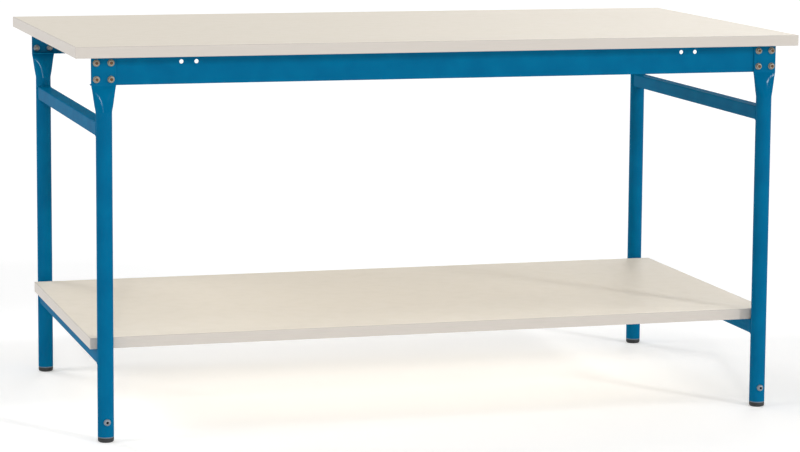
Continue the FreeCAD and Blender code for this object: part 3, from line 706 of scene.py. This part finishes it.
# %% [markdown]
# ### Wood screws
# Pan-head screws hold the top to the rails and the shelf to the lower cross
# rails. Their heads face the floor and have a cross recess. In plan the recess
# is a plus sign, and seen from its middle each edge of it has one radius, so it
# is a ring like the others: the arm's end near the axes, the arm's side
# elsewhere. The arms are 15 degrees wide on either side of their line. The
# screws for the shelf are longer, as they first pass through the cross rail.

# %% A wood screw
SCREW_HEAD = 4.75  # radius
SCREW_HEAD_HEIGHT = 3.0
ARM_HALF_WIDTH = 15  # degrees


def cross_shape(reach):
    """The radius, at an angle, of a plus sign whose arms reach so far."""
    arm_side = reach * math.tan(math.radians(ARM_HALF_WIDTH))

    def radius(angle):
        off = (angle + math.pi / 4) % (math.pi / 2) - math.pi / 4
        if abs(off) <= math.radians(ARM_HALF_WIDTH + 0.01):
            return reach / math.cos(off)
        return arm_side / math.sin(abs(off))

    return radius


def wood_screw_master(length, thread_end):
    """A pan-head wood screw. Its head's seat is at height nought and its tip at minus length."""
    bm = bmesh.new()
    core, crest, shank = 1.35, 2.0, 1.9
    point = 4.0 - length
    stack(bm, [(0, -length), (core, point)])
    thread(bm, core, crest, point, thread_end, pitch=1.8)
    stack(bm, [(core, thread_end), (shank, thread_end + 0.4), (shank, 0)])
    stack(bm, [(shank, 0), (SCREW_HEAD - 0.2, 0), (SCREW_HEAD, 0.2)])
    recess, recess_floor = cross_shape(2.3), cross_shape(1.7)
    dome = rounding(SCREW_HEAD, SCREW_HEAD_HEIGHT, 2.0)
    brim = [(2.5, SCREW_HEAD_HEIGHT), (recess, SCREW_HEAD_HEIGHT)]
    stack(bm, [(SCREW_HEAD, 0.2)] + dome + brim)
    stack(bm, [(recess, SCREW_HEAD_HEIGHT), (recess_floor, 1.5), (0.35, 1.1), (0, 1.05)])
    return master_mesh("wood_screw", bm)


top_screw = wood_screw_master(15, thread_end=-2.0)
shelf_screw = wood_screw_master(41, thread_end=-2.5)
print("faces in a screw:", len(top_screw.polygons), "and", len(shelf_screw.polygons))

# %% Screws in rows
DOWN = (0, 0, -1)
for end_name, end in ENDS.items():
    node = f"tabletop_screws_{end_name}"
    pitch = (box_mm(node)[1].x - SCREW_HEAD) / 2
    y, seat = middle_mm(node)[1], TABLETOP_UNDERSIDE - RAIL_SHEET
    places = [
        facing(k * pitch, y, seat, DOWN, turn=GOLDEN_ANGLE * (k + 3 * end))
        for k in range(-2, 3)
    ]
    make_piece(
        f"tabletop_screw_set_{end_name}", top_screw, places, "table",
        f"tabletop_screws_{end_name}", "bright_zinc", blue_zinc,
    )
for side_name, side in SIDES.items():
    node = f"shelf_screws_{side_name}"
    pitch = box_mm(node)[1].y - SCREW_HEAD
    x, seat = middle_mm(node)[0], SHELF_UNDERSIDE - 2 * CROSS_TUBE_HALF
    places = [
        facing(x, k * pitch, seat, DOWN, turn=GOLDEN_ANGLE * (k + 4 * side))
        for k in range(-1, 2)
    ]
    make_piece(
        f"shelf_screw_set_{side_name}", shelf_screw, places, "table",
        f"shelf_screws_{side_name}", "bright_zinc", blue_zinc,
    )

# %% [markdown]
# ### Foot screws
# One M8 button-head screw at the bottom of each leg keeps the threaded insert
# from turning. The head is a low dome with a hexagon socket of 5 mm. It is the
# same stack of rings as before, with a hexagon inside a circle this time. The
# socket is painted nearly black: that is painted shade, the darkness that a
# small deep hollow shows, and not a colour of the zinc.

# %% Foot screws
def foot_screw_master():
    """An M8 button-head screw. Its head's seat is at height nought."""
    bm = bmesh.new()
    core, crest, head, rise = 3.35, 4.0, 7.0, 4.2
    tip, thread_end = -9, -0.8
    socket = hexagon(5.0)
    stack(bm, [(0, tip), (core, tip)])
    thread(bm, core, crest, tip, thread_end, pitch=1.25)
    stack(bm, [(core, thread_end), (core, 0), (head - 0.2, 0), (head, 0.2)])
    stack(bm, [(head, 0.2)] + rounding(head, rise, 3.8, steps=6) + [(socket, rise)])
    # The socket takes the second finish, zinc painted nearly black as shade.
    stack(bm, [(socket, rise), (socket, rise - 3.0), (0, rise - 3.6)], slot=1)
    return master_mesh("foot_screw", bm)


foot_screw = foot_screw_master()
for corner, end, side in CORNERS:
    x, _, z = middle_mm(f"foot_screw_{corner}")
    place = facing(x, end * leg_front, z, (0, end, 0), turn=GOLDEN_ANGLE * (end + 2 * side))
    make_piece(
        f"foot_screw_piece_{corner}", foot_screw, [place], "table", f"foot_screw_{corner}",
        "bright_zinc", blue_zinc, socket_painted_shade_zinc,
    )

# %% [markdown]
# ### Levelling feet
# Each foot is an M10 spindle that turns in the insert, with a round head that
# swivels in a pad. The pad slides up and down with the spindle but doesn't
# turn, so the two are separate pieces on separate bodies. The thread is hidden
# while the foot is screwed in and shows once it is let down.
#
# The pad is moulded with a pocket that holds the spindle's head, and rings on
# its sole grip the floor. A bevel modifier could round its rim, but it would
# round every other edge too, so the rings of the stack do it. All heights here
# are from the floor.

# %% Spindles
def spindle_master():
    """An M10 spindle with a round head at its foot."""
    bm = bmesh.new()
    core, crest, head = 4.08, 4.92, 8.0
    base, head_top, thread_start, thread_end, tip = 3, 5.6, 7.6, 49, 50
    stack(bm, [
        (0, base), (head - 1, base), (head, base + 1), (head, head_top - 0.3),
        (head - 0.3, head_top), (crest, head_top), (crest, thread_start - 0.6),
        (core, thread_start),
    ])
    thread(bm, core, crest, thread_start, thread_end, pitch=1.5)
    stack(bm, [(core, thread_end), (3.6, tip), (0, tip)])
    return master_mesh("foot_spindle", bm)


spindle = spindle_master()
print("faces in a spindle:", len(spindle.polygons))


# %% Pads
PAD_STEPS = 64
PAD_RADIUS = 16
PAD_HEIGHT = 9
PAD_ROUNDING = 4
POCKET_RADIUS = 8.3


def pad_master():
    """A pad: its sole with two grip rings, its rounded rim, its top and the pocket."""
    bm = bmesh.new()
    groove, ridge = 1.2, 0.3
    sole = [
        (0, groove), (3.2, groove), (3.6, ridge), (4.6, ridge), (5.0, groove),
        (6.0, groove), (6.4, ridge), (7.4, ridge), (7.8, groove), (8.8, groove),
    ]
    inner = PAD_RADIUS - PAD_ROUNDING
    turns = [math.pi / 2 * k / 8 for k in range(1, 9)]
    rim = [(9.2, 0.2), (9.5, 0), (inner, 0)] + [
        (inner + PAD_ROUNDING * math.sin(t), PAD_ROUNDING - PAD_ROUNDING * math.cos(t))
        for t in turns
    ]
    top = [
        (PAD_RADIUS, PAD_HEIGHT - 0.5), (PAD_RADIUS - 0.15, PAD_HEIGHT - 0.15),
        (PAD_RADIUS - 0.5, PAD_HEIGHT), (5.6, PAD_HEIGHT), (5.3, PAD_HEIGHT - 0.3),
    ]
    pocket = [(5.3, 5.9), (POCKET_RADIUS, 5.9), (POCKET_RADIUS, 3), (0, 3)]
    stack(bm, sole + rim + top + pocket, steps=PAD_STEPS)
    return master_mesh("foot_pad", bm)


pad = pad_master()
print("faces in a pad:", len(pad.polygons))

# %% Place the feet
for corner, end, side in CORNERS:
    x, y, _ = middle_mm(f"foot_pad_{corner}")
    place = Matrix.Translation((x, y, 0))
    make_piece(
        f"levelling_spindle_{corner}", spindle, [place], f"{corner}_spindle",
        f"foot_spindle_{corner}", "bright_zinc", blue_zinc,
    )
    make_piece(
        f"levelling_pad_{corner}", pad, [place], f"{corner}_pad", f"foot_pad_{corner}",
        "foot_pad", pad_plastic,
    )

# %% [markdown]
# ## Weld seams
# The cross rails are square tubes, cut hollow at the ends to fit the round legs
# and welded all round. A weld is a bead of molten steel that froze in small
# ripples, one for each pulse of the arc. The bead follows the tube's outline
# where it meets the leg, so it bends back along the leg's curve at the sides.
# A curve with a round bevel could follow that path, but the ripples need a
# section every half millimetre, each with its own size. So the seam is a closed
# row of round sections, and they swell and shrink to make the ripples. It was
# painted together with the frame.

# %% The tube's outline
def tube_outline(step):
    """Points round a square tube's outline, with the outward direction at each."""
    straight = 2 * (CROSS_TUBE_HALF - CROSS_TUBE_CORNER)
    arc = CROSS_TUBE_CORNER * math.pi / 2
    count = round(4 * (straight + arc) / step)
    points = []
    for k in range(count):
        quarter, along = divmod(4 * (straight + arc) * k / count, straight + arc)
        if along < straight:
            x, z, angle = CROSS_TUBE_HALF, along - straight / 2, 0
        else:
            angle = (along - straight) / CROSS_TUBE_CORNER
            x = CROSS_TUBE_HALF - CROSS_TUBE_CORNER + CROSS_TUBE_CORNER * math.cos(angle)
            z = CROSS_TUBE_HALF - CROSS_TUBE_CORNER + CROSS_TUBE_CORNER * math.sin(angle)
        turn = Matrix.Rotation(quarter * math.pi / 2, 2)
        points.append((turn @ Vector((x, z)), turn @ Vector((math.cos(angle), math.sin(angle)))))
    return points


print("points round the outline, a millimetre apart:", len(tube_outline(1)))

# %% Weld seams
BEAD_RADIUS = 1.9
BEAD_STEPS = 10
RIPPLE = 0.22  # how much the radius swells and shrinks
RIPPLE_PITCH = 2.2
RIPPLE_STEPS = 4


def seam_master():
    """A seam for a leg on the origin's axis, with the tube leaving it along +Y."""
    bm = bmesh.new()
    loops = []
    away = Vector((0, 1, 0))
    for k, (point, out) in enumerate(tube_outline(RIPPLE_PITCH / RIPPLE_STEPS)):
        y = math.sqrt(LEG_RADIUS ** 2 - point.x ** 2)
        centre = Vector((point.x, y, point.y))
        outwards = Vector((out.x, 0, out.y))
        size = BEAD_RADIUS + RIPPLE * math.cos(math.tau * k / RIPPLE_STEPS)
        loop = []
        for s in range(BEAD_STEPS):
            angle = math.tau * s / BEAD_STEPS
            spoke = outwards * math.cos(angle) + away * math.sin(angle)
            loop.append(bm.verts.new(centre + size * spoke))
        loops.append(loop)
    for this, following in zip(loops, loops[1:] + loops[:1]):
        for a in range(BEAD_STEPS):
            b = (a + 1) % BEAD_STEPS
            bm.faces.new((this[a], this[b], following[b], following[a]))
    return master_mesh("weld_seam", bm)


seam = seam_master()
for corner, end, side in CORNERS:
    side_name = "left" if side < 0 else "right"
    turn_to_rail = Matrix.Rotation(0 if end < 0 else math.pi, 4, "Z")
    for level in ("upper", "lower"):
        x, _, z = middle_mm(f"{level}_cross_rail_{side_name}")
        place = Matrix.Translation((x, end * LEG_AXIS_Y, z)) @ turn_to_rail
        make_piece(
            f"weld_seam_{level}_{corner}", seam, [place], "table", None,
            "frame_enamel", frame_paint, smooth=70,
        )
